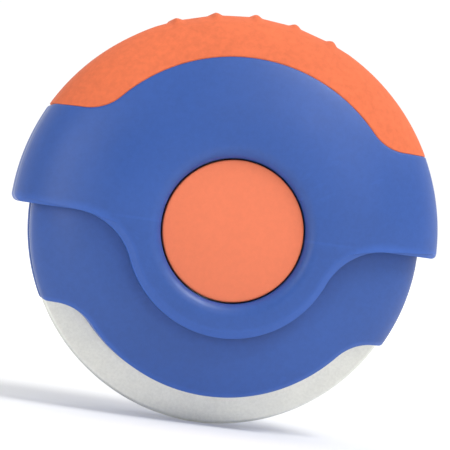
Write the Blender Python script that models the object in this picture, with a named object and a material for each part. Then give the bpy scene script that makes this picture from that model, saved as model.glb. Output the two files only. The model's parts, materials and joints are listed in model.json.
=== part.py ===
"""Palm-held tracing wheel for sewing: a gripped handle, a turning guard, a smooth wheel and a push button.

The wheel's axis runs along Y and the button faces -Y. The wheel stands on Z = 0, so the axle is one
wheel radius up. Each piece is modelled around the Z axis as it would lie on a bench with the button side
up, and an empty on the axle then stands it upright. Lengths are in metres.
"""

import math

import bmesh
import bpy

# Driving dimensions
WHEEL_RADIUS = 0.0300
WHEEL_THICKNESS = 0.0012
HANDLE_RADIUS = 0.0330
HALF_THICKNESS = 0.0132
BUTTON_RADIUS = 0.01075

# Gaps between pieces that stay put and between pieces that turn on each other
REST_GAP = 0.0003
RUN_GAP = 0.00015
GUARD_GAP = 0.0004
GUARD_LIFT = 0.0008
BUSH_GAP = 0.0002

# Domed shells: a flat hub plateau, a quarter ellipse, then an upright rim
PLATEAU_RADIUS = 0.0130
RIM_HEIGHT = 0.0032
HANDLE_WALL = 0.0021
HANDLE_INNER_RADIUS = HANDLE_RADIUS - 0.0020
HANDLE_INNER_HEIGHT = HALF_THICKNESS - HANDLE_WALL
GUARD_RADIUS = WHEEL_RADIUS + 0.0001
GUARD_HEIGHT = HANDLE_INNER_HEIGHT - GUARD_GAP
GUARD_WALL = 0.0018
WHEEL_FACE = WHEEL_THICKNESS / 2
GUARD_FLOOR = WHEEL_FACE + GUARD_LIFT

# Wave edges: lobe radius about the axle, height of the shoulder line, fillet radius
HANDLE_WAVE = (0.0162, 0.0, 0.0100)
GUARD_WAVE = (0.0254, 0.0144, 0.0075)
GRIP_WAVE = (0.0263, 0.0154, 0.0070)

# Palm grip and the dowels under its ends
GRIP_THICKNESS = 0.0010
RIB_COUNT = 5
RIB_PITCH = math.radians(10.8)
RIB_RADIUS = 0.0006
RIB_PROUD = 0.00038
RIB_LENGTH = 0.0090
DOWEL_RADIUS = 0.0005
DOWEL_LENGTH = 0.0056
DOWEL_ANGLE = math.radians(14)

# Handle hub: the edge rolls over into the button's bore, and a collar carries the guard
BORE_RADIUS = BUTTON_RADIUS + REST_GAP
ROLL_DEPTH = 0.0017
COLLAR_RADIUS = 0.0126
COLLAR_END = 0.0057
GLIDE_RING_WALL = 0.00085
CLAMP_PLATE = (0.0040, 0.0054)
REAR_FLOOR = 0.0092
REAR_BOSS_RADIUS = 0.0060
REAR_BOSS_END = 0.0046
RECESS_FLOOR = 0.0106

# Guard hub: a cup on each side of the wheel, a web, and the boss inside the wheel's bush
GUARD_BORE = COLLAR_RADIUS + GLIDE_RING_WALL + 2 * RUN_GAP
POCKET_RADIUS = 0.0166
CUP_WALL = 0.0016
WEB_FLOOR = 0.0017
WEB_TOP = 0.0032
BOSS_RADIUS = 0.0080
BUSH_RADIUS = 0.0101
BUSH_FLANGE_RADIUS = 0.0126
BUSH_END = WEB_FLOOR - REST_GAP

# Axle
AXLE_BORE = 0.0023
SLEEVE_RADIUS = 0.0040
WEB_BORE = SLEEVE_RADIUS + REST_GAP
BOLT_RADIUS = 0.0020
BOLT_HEAD_RADIUS = 0.0062
BOLT_WASHER_RADIUS = 0.0050
BOLT_WASHER = (RECESS_FLOOR + REST_GAP, RECESS_FLOOR + 0.0007)
BOLT_HEAD = (BOLT_WASHER[1] + REST_GAP, HALF_THICKNESS - REST_GAP)
COIN_SLOT_WIDTH = 0.0016
COIN_SLOT_DEPTH = 0.0007
NUT_RADIUS = 0.0040
NUT = (CLAMP_PLATE[1] + REST_GAP, 0.0077)
BOLT_TIP = NUT[1] + 0.0002
WAVE_WASHER_THICKNESS = 0.00024
WAVE_WASHER_RISE = 0.0002
WAVE_WASHER_WAVES = 3

# Stop that ends the guard's half turn
STOP_RADIUS = 0.0096
STOP_PIN_RADIUS = 0.0008
STOP_PIN_TOP = 0.0112
STOP_RIB_TOP = 0.0056

# Screws
SCREW_COUNT = 3
SCREW_RADIUS = 0.0008
SCREW_HOLE_RADIUS = SCREW_RADIUS + REST_GAP
SCREW_HEAD_RADIUS = 0.0015
SCREW_HEAD_DEPTH = 0.0009
DRIVE_DEPTH = 0.0004
DRIVE_WIDTH = 0.0004
GUARD_SCREW_CIRCLE = 0.0200
GUARD_SCREW_END = 0.0070
HUB_SCREW_CIRCLE = 0.0061
HUB_SCREW_END = 0.0007
POST_RADIUS = 0.0015

# Button, brake ring and spring
BUTTON_EDGE = 0.0119
BUTTON_CROWN = 0.0005
BUTTON_EASE = 0.0004
BUTTON_UNDERSIDE = 0.0098
SKIRT_RADIUS = 0.0093
BRAKE_TOP = GUARD_HEIGHT - GUARD_WALL - REST_GAP
BRAKE_RING = (0.0130, 0.0160, BRAKE_TOP - 0.0012, BRAKE_TOP)
BRAKE_TAB_WIDTH = 0.0050
BRAKE_TAB_STEP = 0.0002
SPRING_WIRE = 0.0003
SPRING_RADIUS = 0.0066
SPRING_TURNS = 2

# How far a joined piece runs into its neighbour, and a cutting tool past the surface it opens
OVERLAP = 0.0008
PAST = 0.0010
BEYOND = 0.0500

# Mesh fineness
SHELL_STEPS = 48
HUB_STEPS = 36
WHEEL_STEPS = 72
SMALL_STEPS = 12
DOME_STEPS = 6
ROLL_STEPS = 4
CROWN_STEPS = 5
LOBE_STEPS = 14
FILLET_STEPS = 5
COIL_STEPS = 18
WIRE_STEPS = 6
MERGE = 1e-7
FACE_SPLIT = math.radians(30)

BLUE = ("blue_plastic", (0.055, 0.117, 0.402), 0.45, 0.0)
ORANGE_SOFT = ("orange_rubber", (0.896, 0.205, 0.080), 0.75, 0.0)
ORANGE_HARD = ("orange_plastic", (0.913, 0.231, 0.122), 0.55, 0.0)
STEEL = ("satin_steel", (0.560, 0.560, 0.540), 0.35, 1.0)
ZINC = ("zinc_plate", (0.480, 0.490, 0.500), 0.40, 1.0)
SPRING_STEEL = ("spring_steel", (0.300, 0.300, 0.310), 0.35, 1.0)
NYLON = ("natural_nylon", (0.750, 0.740, 0.690), 0.50, 0.0)
BLACK = ("black_acetal", (0.020, 0.020, 0.022), 0.40, 0.0)


# ---------------------------------------------------------------- tools

def clear_scene():
    for old in list(bpy.data.objects):
        bpy.data.objects.remove(old)


def make_material(finish):
    name, colour, roughness, metallic = finish
    material = bpy.data.materials.get(name) or bpy.data.materials.new(name)
    material.use_nodes = True
    shader = material.node_tree.nodes["Principled BSDF"]
    shader.inputs["Base Color"].default_value = (*colour, 1.0)
    shader.inputs["Roughness"].default_value = roughness
    shader.inputs["Metallic"].default_value = metallic
    return material


def add_object(name, bm):
    """Turns a bmesh into an object whose faces point out."""
    bmesh.ops.recalc_face_normals(bm, faces=bm.faces)
    mesh = bpy.data.meshes.new(name)
    bm.to_mesh(mesh)
    bm.free()
    body = bpy.data.objects.new(name, mesh)
    bpy.context.collection.objects.link(body)
    return body


def turned(name, profile, steps=HUB_STEPS, side=1):
    """Spins a profile of (radius, height) points about Z; side -1 turns it over onto the rear."""
    bm = bmesh.new()
    points = [bm.verts.new((radius, 0.0, side * height)) for radius, height in profile]
    solid = profile[0][0] == 0.0
    first = 1 if solid else 0
    edges = [bm.edges.new((points[i - 1], points[i])) for i in range(first, len(points))]
    bmesh.ops.spin(bm, geom=points + edges, cent=(0, 0, 0), axis=(0, 0, 1), angle=2 * math.pi,
                   steps=steps, use_merge=True)
    bmesh.ops.remove_doubles(bm, verts=bm.verts, dist=MERGE)
    return add_object(name, bm)


def prism(name, outline, low, high):
    """Raises a flat outline between two heights."""
    bm = bmesh.new()
    face = bm.faces.new([bm.verts.new((x, y, low)) for x, y in outline])
    raised = bmesh.ops.extrude_face_region(bm, geom=[face])
    lifted = [item for item in raised["geom"] if isinstance(item, bmesh.types.BMVert)]
    bmesh.ops.translate(bm, verts=lifted, vec=(0, 0, high - low))
    return add_object(name, bm)


def tube(name, inner, outer, low, high, steps=HUB_STEPS, side=1):
    return turned(name, [(inner, high), (outer, high), (outer, low), (inner, low)], steps, side)


def rod(name, radius, low, high, steps=SMALL_STEPS):
    return turned(name, [(0.0, high), (radius, high), (radius, low), (0.0, low)], steps)


def block(name, x, y, low, high):
    """A box between two x values, two y values and two heights."""
    return prism(name, [(x[0], y[0]), (x[1], y[0]), (x[1], y[1]), (x[0], y[1])], low, high)


def place(body, x=0.0, y=0.0, turn=0.0):
    """Turns a piece about Z and then shifts it across the face, in its mesh."""
    cos, sin = math.cos(turn), math.sin(turn)
    for vertex in body.data.vertices:
        old_x, old_y, height = vertex.co
        vertex.co = (old_x * cos - old_y * sin + x, old_x * sin + old_y * cos + y, height)
    return body


def combine(body, tool, operation):
    """Cuts, joins or intersects a body with a tool, and drops the tool."""
    modifier = body.modifiers.new(operation.lower(), "BOOLEAN")
    modifier.operation = operation
    modifier.solver = "EXACT"
    modifier.object = tool
    depsgraph = bpy.context.evaluated_depsgraph_get()
    result = bpy.data.meshes.new_from_object(body.evaluated_get(depsgraph))
    body.modifiers.clear()
    body.data = result
    bpy.data.objects.remove(tool)
    return body


def cut(body, tool):
    return combine(body, tool, "DIFFERENCE")


def join(body, tool):
    return combine(body, tool, "UNION")


def keep_inside(body, tool):
    return combine(body, tool, "INTERSECT")


def on_circle(radius, angle):
    return radius * math.cos(angle), radius * math.sin(angle)


def arc(centre, radius, start, end, steps):
    """Points of a round stretch, both ends included."""
    points = []
    for step in range(steps + 1):
        x, y = on_circle(radius, start + (end - start) * step / steps)
        points.append((centre[0] + x, centre[1] + y))
    return points


def dome(rim_radius, height, start_radius=PLATEAU_RADIUS):
    """Quarter ellipse from a start radius out and down to the top of the rim."""
    reach = rim_radius - PLATEAU_RADIUS
    rise = height - RIM_HEIGHT
    start = math.asin((start_radius - PLATEAU_RADIUS) / reach)
    points = []
    for step in range(DOME_STEPS + 1):
        angle = start + (math.pi / 2 - start) * step / DOME_STEPS
        points.append((PLATEAU_RADIUS + reach * math.sin(angle), RIM_HEIGHT + rise * math.cos(angle)))
    return points


def wave_region(wave, up, inset=0.0):
    """Outline of all that lies above a wave edge, whose round lobe bulges up or down.

    An inset moves the edge towards the lobe's centre, with its round stretches kept concentric.
    """
    lobe, shoulder, fillet = wave[0] - inset, wave[1] - inset, wave[2] + inset
    centre_y = shoulder + fillet
    centre_x = math.sqrt((lobe + fillet) ** 2 - centre_y ** 2)
    lean = math.atan2(centre_y, centre_x)
    right = arc((centre_x, centre_y), fillet, -math.pi / 2, lean - math.pi, FILLET_STEPS)
    crown = arc((0, 0), lobe, lean, math.pi - lean, LOBE_STEPS)
    left = [(-x, y) for x, y in reversed(right)]
    edge = [(BEYOND, shoulder)] + right + crown[1:-1] + left + [(-BEYOND, shoulder)]
    if not up:
        edge = [(x, -y) for x, y in edge]
    return edge + [(-BEYOND, BEYOND), (BEYOND, BEYOND)]


def three_around(circle, first=math.pi / 2):
    """Angle and centre of each of three places around the axle."""
    angles = [first + 2 * math.pi * index / SCREW_COUNT for index in range(SCREW_COUNT)]
    return [(angle, *on_circle(circle, angle)) for angle in angles]


# ---------------------------------------------------------------- handle

def handle_shell(name, profile, side):
    """Trims a turned shell to the handle's outline and sinks the grip's seat into it."""
    shell = turned(name, profile, SHELL_STEPS, side)
    keep_inside(shell, prism("handle_outline", wave_region(HANDLE_WAVE, up=False), -BEYOND, BEYOND))
    depth = GRIP_THICKNESS + REST_GAP
    seat = dome(HANDLE_RADIUS - depth, HALF_THICKNESS - depth, POCKET_RADIUS)
    outside = [(HANDLE_RADIUS - depth, -REST_GAP), (BEYOND, -REST_GAP)]
    outside += [(BEYOND, BEYOND), (POCKET_RADIUS, BEYOND)]
    seat_tool = turned("grip_seat", seat + outside, SHELL_STEPS, side)
    keep_inside(seat_tool, prism("grip_zone", wave_region(GRIP_WAVE, up=True), -BEYOND, BEYOND))
    cut(shell, seat_tool)
    for hand in (-1, 1):
        cut(shell, rim_dowel_rod("dowel_hole", hand, DOWEL_RADIUS + REST_GAP / 2, DOWEL_LENGTH + REST_GAP))
    return shell


def rim_dowel_rod(name, hand, radius, length):
    """A rod across the parting line inside the rim's wall; hand is -1 on the left and 1 on the right."""
    middle = (HANDLE_RADIUS + HANDLE_INNER_RADIUS) / 2
    x, y = on_circle(middle, DOWEL_ANGLE)
    return place(rod(name, radius, -length / 2, length / 2), hand * x, y)


def rim_wall():
    """The upright rim that both handle shells share, from the outside in."""
    parting = REST_GAP / 2
    return [(HANDLE_RADIUS, parting), (HANDLE_INNER_RADIUS, parting)]


def bore_roll():
    """Quarter ellipse from the bore's edge up to the plateau, which it meets flat."""
    points = []
    for step in range(ROLL_STEPS):
        angle = math.pi / 2 * step / ROLL_STEPS
        radius = PLATEAU_RADIUS - (PLATEAU_RADIUS - BORE_RADIUS) * math.cos(angle)
        points.append((radius, HALF_THICKNESS - ROLL_DEPTH * (1 - math.sin(angle))))
    return points


def front_handle():
    """Front half of the handle: the button's bore, the guard's collar and windows for the brake's tabs."""
    profile = bore_roll() + dome(HANDLE_RADIUS, HALF_THICKNESS) + rim_wall()
    profile += reversed(dome(HANDLE_INNER_RADIUS, HANDLE_INNER_HEIGHT))
    profile += [(COLLAR_RADIUS, HANDLE_INNER_HEIGHT), (COLLAR_RADIUS, COLLAR_END), (BORE_RADIUS, COLLAR_END)]
    shell = handle_shell("front_handle", profile, 1)
    window = BRAKE_TAB_WIDTH / 2 + REST_GAP
    for angle, _, _ in three_around(0.0):
        slot = block("tab_window", (BORE_RADIUS - PAST, COLLAR_RADIUS + PAST), (-window, window),
                     COLLAR_END - PAST, BRAKE_TOP + REST_GAP)
        cut(shell, place(slot, turn=angle))
    return shell


def rear_handle():
    """Rear half of the handle: the guard's collar, the boss the axle passes and the bolt head's recess."""
    recess_radius = BOLT_HEAD_RADIUS + REST_GAP
    profile = [(recess_radius, HALF_THICKNESS)]
    profile += dome(HANDLE_RADIUS, HALF_THICKNESS) + rim_wall()
    profile += reversed(dome(HANDLE_INNER_RADIUS, HANDLE_INNER_HEIGHT))
    profile += [(COLLAR_RADIUS, HANDLE_INNER_HEIGHT), (COLLAR_RADIUS, COLLAR_END), (BORE_RADIUS, COLLAR_END)]
    profile += [(BORE_RADIUS, REAR_FLOOR), (REAR_BOSS_RADIUS, REAR_FLOOR)]
    profile += [(REAR_BOSS_RADIUS, REAR_BOSS_END), (AXLE_BORE, REAR_BOSS_END)]
    profile += [(AXLE_BORE, RECESS_FLOOR), (recess_radius, RECESS_FLOOR)]
    shell = handle_shell("rear_handle", profile, -1)
    hole = rod("pin_hole", STOP_PIN_RADIUS + REST_GAP / 2, -STOP_PIN_TOP - REST_GAP, -COLLAR_END)
    return cut(shell, place(hole, y=STOP_RADIUS))


def palm_grip():
    """Soft saddle over the top of the handle, with raised ribs across its crest."""
    start = POCKET_RADIUS
    outer = dome(HANDLE_RADIUS, HALF_THICKNESS, start)
    inner = dome(HANDLE_RADIUS - GRIP_THICKNESS, HALF_THICKNESS - GRIP_THICKNESS, start)
    over = outer + [(radius, -height) for radius, height in reversed(outer)]
    under = inner + [(radius, -height) for radius, height in reversed(inner)]
    grip = turned("palm_grip", over + under[::-1], SHELL_STEPS)
    keep_inside(grip, prism("grip_zone", wave_region(GRIP_WAVE, up=True, inset=-REST_GAP), -BEYOND, BEYOND))
    crest = HANDLE_RADIUS + RIB_PROUD - RIB_RADIUS
    for index in range(RIB_COUNT):
        x, y = on_circle(crest, math.pi / 2 + (index - RIB_COUNT // 2) * RIB_PITCH)
        join(grip, place(rod("rib", RIB_RADIUS, -RIB_LENGTH / 2, RIB_LENGTH / 2), x, y))
    return grip


def glide_ring(name, side):
    """Slippery ring between a handle collar and the bore of the guard."""
    inner = COLLAR_RADIUS + RUN_GAP
    return tube(name, inner, inner + GLIDE_RING_WALL, GUARD_HEIGHT - GUARD_WALL,
                HANDLE_INNER_HEIGHT - REST_GAP, side=side)


def axle_bolt():
    """Coin-slotted bolt through the axle sleeve, with its head sunk in the rear handle."""
    low, high = BOLT_HEAD
    profile = [(0.0, -BOLT_TIP), (BOLT_RADIUS, -BOLT_TIP), (BOLT_RADIUS, low), (BOLT_HEAD_RADIUS, low)]
    profile += [(BOLT_HEAD_RADIUS, high - REST_GAP), (BOLT_HEAD_RADIUS - REST_GAP, high), (0.0, high)]
    bolt = turned("axle_bolt", profile, side=-1)
    half = COIN_SLOT_WIDTH / 2
    return cut(bolt, block("coin_slot", (-BEYOND, BEYOND), (-half, half), -BEYOND, COIN_SLOT_DEPTH - high))


def axle_nut():
    corners = [on_circle(NUT_RADIUS, math.pi / 3 * index) for index in range(6)]
    nut = prism("axle_nut", corners, *NUT)
    return cut(nut, rod("thread", AXLE_BORE, 0.0, BEYOND))


def wave_washer():
    """Thin spring washer whose height follows three waves around the axle."""
    half = WAVE_WASHER_THICKNESS / 2
    washer = tube("wave_washer", SLEEVE_RADIUS + REST_GAP, REAR_BOSS_RADIUS, -half, half)
    middle = (WEB_TOP + REAR_BOSS_END) / 2
    for vertex in washer.data.vertices:
        angle = math.atan2(vertex.co.y, vertex.co.x)
        vertex.co.z += WAVE_WASHER_RISE * math.cos(WAVE_WASHER_WAVES * angle) - middle
    return washer


def handle_pieces():
    sleeve_ends = (-(REAR_BOSS_END - REST_GAP), CLAMP_PLATE[0] - REST_GAP)
    stop = rod("stop_pin", STOP_PIN_RADIUS, -STOP_PIN_TOP, -(WEB_TOP + 2 * REST_GAP))
    return [
        (front_handle(), BLUE),
        (rear_handle(), BLUE),
        (palm_grip(), ORANGE_SOFT),
        (glide_ring("front_glide_ring", 1), BLACK),
        (glide_ring("rear_glide_ring", -1), BLACK),
        (axle_bolt(), ZINC),
        (tube("bolt_washer", AXLE_BORE, BOLT_WASHER_RADIUS, *BOLT_WASHER, side=-1), ZINC),
        (axle_nut(), ZINC),
        (tube("axle_sleeve", AXLE_BORE, SLEEVE_RADIUS, *sleeve_ends), STEEL),
        (tube("clamp_plate", AXLE_BORE, COLLAR_RADIUS, *CLAMP_PLATE), ZINC),
        (wave_washer(), SPRING_STEEL),
        (place(stop, y=STOP_RADIUS), STEEL),
        (rim_dowel_rod("rim_dowel_left", -1, DOWEL_RADIUS, DOWEL_LENGTH), STEEL),
        (rim_dowel_rod("rim_dowel_right", 1, DOWEL_RADIUS, DOWEL_LENGTH), STEEL),
    ]


# ---------------------------------------------------------------- guard

def guard_dome(name, solid, cavity_start, side):
    """Trims a solid dome to the guard's wave edge and hollows it, which leaves a skirt all round."""
    inner_radius = GUARD_RADIUS - GUARD_WALL
    guard = turned(name, solid, SHELL_STEPS, side)
    keep_inside(guard, prism("guard_outline", wave_region(GUARD_WAVE, up=False), -BEYOND, BEYOND))
    cavity = [(cavity_start, 0.0)]
    cavity += dome(inner_radius, GUARD_HEIGHT - GUARD_WALL, max(cavity_start, PLATEAU_RADIUS))
    hollow = turned("cavity", cavity + [(inner_radius, 0.0)], SHELL_STEPS, side)
    inside = wave_region(GUARD_WAVE, up=False, inset=GUARD_WALL)
    keep_inside(hollow, prism("cavity_outline", inside, -BEYOND, BEYOND))
    return cut(guard, hollow)


def front_guard():
    """Domed cover plate that turns on the front collar, with three screw posts inside."""
    outer = dome(GUARD_RADIUS, GUARD_HEIGHT, GUARD_BORE)
    guard = guard_dome("front_guard", outer + [(GUARD_RADIUS, GUARD_FLOOR), (GUARD_BORE, GUARD_FLOOR)],
                       PLATEAU_RADIUS, 1)
    plate_middle = GUARD_HEIGHT - GUARD_WALL
    for _, x, y in three_around(GUARD_SCREW_CIRCLE):
        join(guard, place(rod("post", POST_RADIUS, WEB_TOP + REST_GAP, plate_middle), x, y))
        cut(guard, place(rod("hole", SCREW_HOLE_RADIUS, 0.0, GUARD_SCREW_END + REST_GAP), x, y))
    return guard


def rear_guard():
    """Domed cover with a hub cup, a screwed web and the half ring that meets the stop pin."""
    cup_radius = GUARD_BORE + GUARD_WALL
    outer = dome(GUARD_RADIUS, GUARD_HEIGHT, GUARD_BORE)
    hub = [(cup_radius, GUARD_FLOOR), (cup_radius, WEB_FLOOR), (WEB_BORE, WEB_FLOOR)]
    hub += [(WEB_BORE, WEB_TOP), (GUARD_BORE, WEB_TOP)]
    guard = guard_dome("rear_guard", outer + [(GUARD_RADIUS, GUARD_FLOOR)] + hub, cup_radius, -1)
    reach = STOP_PIN_RADIUS + REST_GAP
    rib = tube("stop_rib", STOP_RADIUS - reach, STOP_RADIUS + reach, WEB_TOP - OVERLAP, STOP_RIB_TOP, side=-1)
    cut(rib, block("stop_gap", (-reach, BEYOND), (-BEYOND, BEYOND), -BEYOND, BEYOND))
    join(guard, rib)
    for _, x, y in three_around(HUB_SCREW_CIRCLE):
        cut(guard, place(countersink(-WEB_TOP, -1), x, y))
    return guard


def countersink(face, side):
    """Tool for a screw's hole: a cone that opens at a face, with the shank's hole below it."""
    wide = SCREW_HEAD_RADIUS + REST_GAP
    bottom = side * face - SCREW_HEAD_DEPTH
    profile = [(0.0, BEYOND), (wide, BEYOND), (wide, side * face), (SCREW_HOLE_RADIUS, bottom)]
    profile += [(SCREW_HOLE_RADIUS, -BEYOND), (0.0, -BEYOND)]
    return turned("countersink", profile, SMALL_STEPS, side)


def screw(name, face, end, side, angle, x, y):
    """Countersunk screw whose head lies just under a face, with a straight drive slot."""
    top = side * face - REST_GAP / 2
    tip = side * end
    profile = [(0.0, top), (SCREW_HEAD_RADIUS, top), (SCREW_RADIUS, top - SCREW_HEAD_DEPTH)]
    profile += [(SCREW_RADIUS, tip), (0.0, tip)]
    body = turned(name, profile, SMALL_STEPS, side)
    low, high = sorted((side * (top - DRIVE_DEPTH), side * BEYOND))
    cut(body, block("drive", (-BEYOND, BEYOND), (-DRIVE_WIDTH / 2, DRIVE_WIDTH / 2), low, high))
    return place(body, x, y, angle)


def guard_hub():
    """Core of the guard: front cup and flange, and the boss that the wheel's bush turns on."""
    cup_radius = POCKET_RADIUS + CUP_WALL
    flange_radius = GUARD_SCREW_CIRCLE + POST_RADIUS + REST_GAP
    cup_top = GUARD_HEIGHT - GUARD_WALL - 2 * REST_GAP
    boss_end = -(WEB_FLOOR - REST_GAP)
    profile = [(WEB_BORE, WEB_TOP), (POCKET_RADIUS, WEB_TOP), (POCKET_RADIUS, cup_top), (cup_radius, cup_top)]
    profile += [(cup_radius, WEB_TOP), (flange_radius, WEB_TOP), (flange_radius, WEB_FLOOR)]
    profile += [(BOSS_RADIUS, WEB_FLOOR), (BOSS_RADIUS, boss_end), (WEB_BORE, boss_end)]
    hub = turned("guard_hub", profile)
    for _, x, y in three_around(GUARD_SCREW_CIRCLE):
        cut(hub, place(countersink(WEB_FLOOR, -1), x, y))
    for _, x, y in three_around(HUB_SCREW_CIRCLE):
        cut(hub, place(rod("hole", SCREW_HOLE_RADIUS, -BEYOND, HUB_SCREW_END + REST_GAP), x, y))
    return hub


def guard_pieces():
    pieces = [(front_guard(), BLUE), (rear_guard(), BLUE), (guard_hub(), NYLON)]
    for index, place_of_screw in enumerate(three_around(GUARD_SCREW_CIRCLE), 1):
        body = screw(f"guard_screw_{index}", WEB_FLOOR, GUARD_SCREW_END, -1, *place_of_screw)
        pieces.append((body, ZINC))
    for index, place_of_screw in enumerate(three_around(HUB_SCREW_CIRCLE), 1):
        body = screw(f"hub_screw_{index}", -WEB_TOP, HUB_SCREW_END, -1, *place_of_screw)
        pieces.append((body, ZINC))
    return pieces


# ---------------------------------------------------------------- wheel

def tracing_wheel():
    """Thin steel disc with a smooth, eased edge."""
    ease = WHEEL_THICKNESS / 4
    bore = BUSH_RADIUS + REST_GAP
    half = [(bore, WHEEL_FACE), (WHEEL_RADIUS - ease, WHEEL_FACE), (WHEEL_RADIUS, WHEEL_FACE - ease)]
    other_half = [(radius, -height) for radius, height in reversed(half)]
    return turned("tracing_wheel", half + other_half, WHEEL_STEPS)


def wheel_bush():
    """Flanged bush that carries the wheel on the guard's boss."""
    inner = BOSS_RADIUS + BUSH_GAP
    flange = WHEEL_FACE + REST_GAP
    profile = [(inner, BUSH_END), (BUSH_FLANGE_RADIUS, BUSH_END), (BUSH_FLANGE_RADIUS, flange)]
    profile += [(BUSH_RADIUS, flange), (BUSH_RADIUS, -BUSH_END), (inner, -BUSH_END)]
    return turned("wheel_bush", profile)


def wheel_pieces():
    retainer = tube("wheel_retainer", BUSH_RADIUS + RUN_GAP, BUSH_FLANGE_RADIUS,
                    -BUSH_END, -(WHEEL_FACE + REST_GAP))
    return [(tracing_wheel(), STEEL), (wheel_bush(), BLACK), (retainer, ZINC)]


# ---------------------------------------------------------------- button

def push_button():
    """Round cap with a low crown, an eased edge and a short skirt."""
    face_radius = BUTTON_RADIUS - BUTTON_EASE
    profile = []
    for step in range(CROWN_STEPS + 1):
        radius = face_radius * step / CROWN_STEPS
        drop = BUTTON_CROWN * (radius / face_radius) ** 2
        profile.append((radius, BUTTON_EDGE + BUTTON_CROWN - drop))
    profile += [(BUTTON_RADIUS, BUTTON_EDGE - BUTTON_EASE), (BUTTON_RADIUS, BRAKE_TOP + REST_GAP)]
    profile += [(SKIRT_RADIUS, BRAKE_TOP + REST_GAP), (SKIRT_RADIUS, BUTTON_UNDERSIDE)]
    profile += [(0.0, BUTTON_UNDERSIDE)]
    return turned("push_button", profile)


def brake_ring():
    """Ring that the spring holds against the guard, on three tabs under the button's skirt."""
    ring = tube("brake_ring", *BRAKE_RING)
    for angle, _, _ in three_around(0.0):
        half = BRAKE_TAB_WIDTH / 2
        tab = block("tab", (SKIRT_RADIUS, BRAKE_RING[0] + OVERLAP), (-half, half),
                    BRAKE_RING[2] + BRAKE_TAB_STEP, BRAKE_TOP - BRAKE_TAB_STEP)
        join(ring, place(tab, turn=angle))
    return ring


def button_spring():
    """Two turns of round wire between the clamp plate and the button's underside."""
    low = CLAMP_PLATE[1] + REST_GAP + SPRING_WIRE
    rise = BUTTON_UNDERSIDE - REST_GAP - SPRING_WIRE - low
    count = SPRING_TURNS * COIL_STEPS
    slope = math.atan2(rise, SPRING_TURNS * 2 * math.pi * SPRING_RADIUS)
    bm = bmesh.new()
    rings = []
    for index in range(count + 1):
        turn = 2 * math.pi * index / COIL_STEPS
        ring = []
        for side in range(WIRE_STEPS):
            angle = 2 * math.pi * side / WIRE_STEPS
            outward = SPRING_RADIUS + SPRING_WIRE * math.cos(angle)
            upward = SPRING_WIRE * math.sin(angle)
            back = upward * math.sin(slope)
            x, y = on_circle(outward, turn)
            x += back * math.sin(turn)
            y -= back * math.cos(turn)
            ring.append(bm.verts.new((x, y, low + rise * index / count + upward * math.cos(slope))))
        rings.append(ring)
    for ring, following in zip(rings, rings[1:]):
        for side in range(WIRE_STEPS):
            after = (side + 1) % WIRE_STEPS
            bm.faces.new((ring[side], ring[after], following[after], following[side]))
    bm.faces.new(rings[0])
    bm.faces.new(rings[-1])
    return add_object("button_spring", bm)


def button_pieces():
    return [(push_button(), ORANGE_HARD), (brake_ring(), BLACK), (button_spring(), SPRING_STEEL)]


# ---------------------------------------------------------------- assembly

def stand_upright(name, pieces):
    """Hangs one moving group on an empty on the axle, with the button side facing -Y."""
    pivot = bpy.data.objects.new(name, None)
    pivot.location = (0.0, 0.0, WHEEL_RADIUS)
    pivot.rotation_euler = (math.pi / 2, 0.0, 0.0)
    bpy.context.collection.objects.link(pivot)
    for body, finish in pieces:
        body.data.materials.clear()
        body.data.materials.append(make_material(finish))
        body.data.shade_smooth()
        body.data.set_sharp_from_angle(angle=FACE_SPLIT)
        body.parent = pivot


def main():
    clear_scene()
    stand_upright("handle_axis", handle_pieces())
    stand_upright("guard_axis", guard_pieces())
    stand_upright("wheel_axis", wheel_pieces())
    stand_upright("button_axis", button_pieces())
    bpy.context.view_layer.update()


main()
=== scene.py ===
"""Looks of the palm-held tracing wheel: smooth moulded shells, soft grip, button, wheel and studio.

Shapes are worked out in millimetres in the tool's face frame: x to the right and y up from the axle,
and z out of the face, towards the button on the front and away from it on the rear. to_world() turns
that frame into the row frame.
"""

import json
import math

import bmesh
import bpy
import numpy as np
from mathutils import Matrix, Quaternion, Vector


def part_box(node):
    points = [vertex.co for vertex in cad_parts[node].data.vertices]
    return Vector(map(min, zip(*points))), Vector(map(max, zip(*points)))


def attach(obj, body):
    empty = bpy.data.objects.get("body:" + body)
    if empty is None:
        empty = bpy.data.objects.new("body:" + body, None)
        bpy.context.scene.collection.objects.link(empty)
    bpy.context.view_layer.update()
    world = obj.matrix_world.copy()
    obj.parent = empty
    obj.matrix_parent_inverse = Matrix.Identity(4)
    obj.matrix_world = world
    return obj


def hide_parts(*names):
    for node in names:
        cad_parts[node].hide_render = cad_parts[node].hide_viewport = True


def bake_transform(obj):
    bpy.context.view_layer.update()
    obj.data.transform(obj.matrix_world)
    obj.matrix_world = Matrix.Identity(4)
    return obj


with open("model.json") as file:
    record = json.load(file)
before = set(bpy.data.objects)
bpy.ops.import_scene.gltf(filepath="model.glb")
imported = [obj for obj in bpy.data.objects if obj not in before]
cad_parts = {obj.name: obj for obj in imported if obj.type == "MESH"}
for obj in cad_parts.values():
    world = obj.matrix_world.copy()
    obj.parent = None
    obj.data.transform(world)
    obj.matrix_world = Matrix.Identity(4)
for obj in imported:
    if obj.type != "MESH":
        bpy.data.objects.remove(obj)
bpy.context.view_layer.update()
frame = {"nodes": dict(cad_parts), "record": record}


def size_mm(node):
    """Size of a node's box in millimetres."""
    low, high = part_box(node)
    return (high - low) * 1000


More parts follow.
